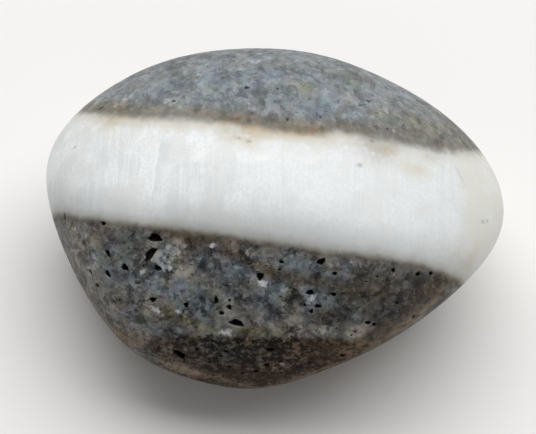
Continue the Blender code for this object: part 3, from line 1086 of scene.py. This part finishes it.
    def white_quartz(self):
        """Return the quartz's ground: cloudy white, with faint streaks across the vein."""
        quartz = self.mix(self.grow(self.along, *WHITEST_FROM), RIGHT_QUARTZ, LEFT_QUARTZ)
        streaky = self.grow(self.noise(self.place, 0.25), 0.4, 0.6)
        quartz = self.paint(quartz, STREAK, self.grow(self.streaks, 0.3, 0.7), streaky)
        veils = self.noise(self.place, *VEILS)
        quartz = self.paint(quartz, VEIL, self.grow(veils, 0.45, 0.62), 0.65)
        flecks = self.grow(self.noise(self.place, *FLECKS), 0.56, 0.68)
        return self.paint(quartz, FLECK, flecks, self.grow(self.clouds, 0.45, 0.6), 0.7)

    def grained_quartz(self, quartz):
        """Lay thin streaks, a sugary grain and a few bright flecks."""
        thin_streaks = self.noise(self.stretched(self.place, THIN_STREAK_WAVES), 1.0, 2.0, 0.6)
        streaky = self.grow(self.noise(self.place, 0.3), 0.4, 0.6)
        quartz = self.paint(quartz, THIN_STREAK, self.grow(thin_streaks, 0.45, 0.7), streaky, 0.6)
        sugary = self.noise(self.place, *SUGARY_GRAIN)
        quartz = self.paint(quartz, SUGAR, self.grow(sugary, 0.42, 0.6), 0.46)
        bright = self.attribute("bright")
        return self.paint(quartz, BRIGHT_FLECK, bright, self.grow(self.clouds, 0.3, 0.55))

    def yellower_end(self, quartz):
        """Turn the quartz yellower beyond a healed joint near its right end."""
        bow = self.math("POWER", self.math("ADD", self.across, 2.5), 2.0)
        bowed = self.total(self.along, self.times(bow, 0.025), self.times(self.ragged, 1.6))
        end = self.grow(bowed, *YELLOWER_FROM)
        return self.paint(quartz, YELLOWER_QUARTZ, end, self.grow(self.clouds, 0.15, 0.55), 0.8)

    def stained_back(self, quartz):
        """Lay the haze, the smears and the rust along the back of the quartz."""
        ivory = self.attribute("ivory")
        quartz = self.paint(quartz, IVORY, ivory, self.grow(self.clouds, 0.3, 0.6))
        haze = self.times(
            self.grow(self.back, -4.0, -0.6), self.grow(self.clouds, 0.4, 0.62),
            self.blend(self.right, 1.0, 0.4))
        quartz = self.paint(quartz, BACK_HAZE, haze, 0.5)
        edge_colour = self.mix(self.right, LEFT_BACK_EDGE, RIGHT_BACK_EDGE)
        quartz = self.paint(
            quartz, edge_colour, self.grow(self.back, -1.5, -0.3), self.blend(self.right, 0.8, 0.6))
        dusk = self.attribute("dusk")
        quartz = self.paint(quartz, DUSK, dusk, self.grow(self.uneven, -0.3, 0.05))
        return self.paint(quartz, QUARTZ_RUST, self.rust, self.grow(self.clouds, 0.25, 0.55))

    def shaded_front(self, quartz):
        """Turn the quartz greyer towards the rock in front of it, partly as painted shade."""
        # Painted shade where the quartz turns down away from the light, and the dark rock seen
        # through its thin edge.
        quartz = self.paint(quartz, FRONT_SHADE, self.grow(self.front, 3.8, 0.0), 0.7)
        return self.paint(quartz, FRONT_EDGE, self.grow(self.front, 1.0, -0.2), 0.7)

    def healed_crack(self, quartz):
        """Lay a bright line across the crest, with greyer quartz on its right."""
        past_crack = self.total(
            self.along, self.times(self.across, -0.12), self.times(self.ragged, 0.5), -CRACK)
        within = self.times(self.grow(self.across, -3.6, -2.4), self.grow(self.across, 3.2, 2.0))
        beside = self.times(
            within, self.grow(past_crack, -0.02, 0.08), self.grow(past_crack, 1.6, 0.1))
        quartz = self.paint(quartz, BESIDE_CRACK, beside, 0.45)
        from_crack = self.node("Math", {0: past_crack}, operation="ABSOLUTE")
        line = self.times(within, self.grow(from_crack, 0.16, 0.02))
        return self.paint(quartz, CRACK_LINE, line, self.grow(self.mottle, 0.35, 0.65))

    def dark_dots(self, quartz):
        """Lay the small dark dots."""
        return self.paint(quartz, DARK_DOT, self.attribute("dots"), 0.8)


def laid_over(colour, *layers):
    """Return a colour with layers laid over it, one after the other."""
    for layer in layers:
        colour = layer(colour)
    return colour


def stone_material():
    """Return the material of the whole stone: rock, quartz, and the stained line between."""
    shader = StoneShader()
    behind, quartz_mask = shader.behind, shader.quartz_mask
    rock = laid_over(
        shader.grey_rock(), shader.brown_and_shade_under_ledge, shader.hues_of_ground,
        shader.patches_of_colour, shader.glints_in_the_dark, shader.worn_foot,
        shader.crystals_and_specks, shader.stained_lines)
    quartz = laid_over(
        shader.white_quartz(), shader.grained_quartz, shader.yellower_end, shader.stained_back,
        shader.shaded_front, shader.healed_crack, shader.dark_dots)
    hole = shader.grow(shader.attribute("hole"), 0.15, 0.7)
    colour = shader.mix(quartz_mask, rock, quartz)
    colour = shader.mix(shader.attribute("spots"), colour, DARK_SPOT)
    # Painted shade: the pits are painted nearly black where they are deepest, less so behind the
    # vein.
    colour = shader.paint(colour, PIT_SHADE, hole, shader.blend(behind, 0.95, 0.6))
    shader.set_surface("Base Color", colour)

    rock_roughness = shader.math("ADD", shader.times(shader.grain, 0.25), ROCK_ROUGHNESS)
    shader.set_surface("Roughness", shader.blend(quartz_mask, rock_roughness, QUARTZ_ROUGHNESS))
    front_gloss = shader.blend(shader.under, FRONT_GLOSS, GLOSS_UNDER_LEDGE)
    rock_gloss = shader.blend(behind, front_gloss, BACK_GLOSS)
    gloss = shader.blend(quartz_mask, rock_gloss, QUARTZ_GLOSS)
    shader.set_surface("Specular IOR Level", shader.blend(hole, gloss, 0.0))

    relief = shader.weighted((shader.grain, 0.5), (shader.mottle, 0.4), (shader.fine, 0.1))
    height = shader.blend(quartz_mask, relief, shader.times(shader.streaks, 0.25))
    bump = {"Height": height, "Strength": 0.6, "Distance": BUMP_HEIGHT}
    shader.set_surface("Normal", shader.node("Bump", bump, output="Normal"))
    return shader.material


def floor_material():
    """Return a plain pale matt material."""
    shader = Shader("pale floor")
    shader.set_surface("Base Color", FLOOR_COLOUR)
    shader.set_surface("Roughness", 0.9)
    shader.set_surface("Specular IOR Level", 0.2)
    return shader.material


def add_object(name, data):
    """Put data into the scene under a name."""
    thing = bpy.data.objects.new(name, data)
    bpy.context.scene.collection.objects.link(thing)
    return thing


def add_floor():
    """Lay a plain pale floor under the stone."""
    half = FLOOR_HALF_SIZE
    data = bpy.data.meshes.new("floor")
    corners = [(-half, -half, 0.0), (half, -half, 0.0), (half, half, 0.0), (-half, half, 0.0)]
    data.from_pydata(corners, [], [(0, 1, 2, 3)])
    data.materials.append(floor_material())
    floor = add_object("floor", data)


def add_softbox():
    """Hang a soft rectangular light over the stone and aim it at the stone."""
    data = bpy.data.lights.new("softbox", "AREA")
    data.shape = "RECTANGLE"
    data.size, data.size_y = SOFTBOX_SIZE
    data.energy = SOFTBOX_POWER
    light = add_object("softbox", data)
    direction = Vector(SOFTBOX_TOWARDS).normalized()
    light.location = direction * SOFTBOX_DISTANCE
    light.rotation_euler = direction.to_track_quat("Z", "Y").to_euler()


def add_surroundings():
    """Surround the scene with even, dim light."""
    world = bpy.data.worlds.new("studio")
    world.use_nodes = True
    background = world.node_tree.nodes["Background"]
    background.inputs["Color"].default_value = (1.0, 1.0, 1.0, 1.0)
    background.inputs["Strength"].default_value = SURROUNDING_LIGHT
    bpy.context.scene.world = world


def add_camera():
    """Look at the stone from the front and well above."""
    up = np.radians(CAMERA_ELEVATION)
    image_up = Vector((0.0, np.sin(up), np.cos(up)))
    to_camera = Vector((0.0, -np.cos(up), np.sin(up)))
    across, above = CAMERA_AIM
    target = Vector(CORE) + Vector((across, 0.0, 0.0)) + above * image_up
    data = bpy.data.cameras.new("camera")
    data.sensor_width = CAMERA_SENSOR
    data.lens = CAMERA_LENS
    data.clip_start = NEAREST_SEEN
    camera = add_object("camera", data)
    camera.location = (target + to_camera * CAMERA_DISTANCE) * MM
    camera.rotation_euler = to_camera.to_track_quat("Z", "Y").to_euler()
    bpy.context.scene.camera = camera


bpy.context.scene.view_settings.view_transform = "Standard"
stone = add_object("pebble_stone", build_stone())
stone.data.materials.append(stone_material())
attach(stone, "root")
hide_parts("pebble")

add_floor()
add_softbox()
add_surroundings()
add_camera()
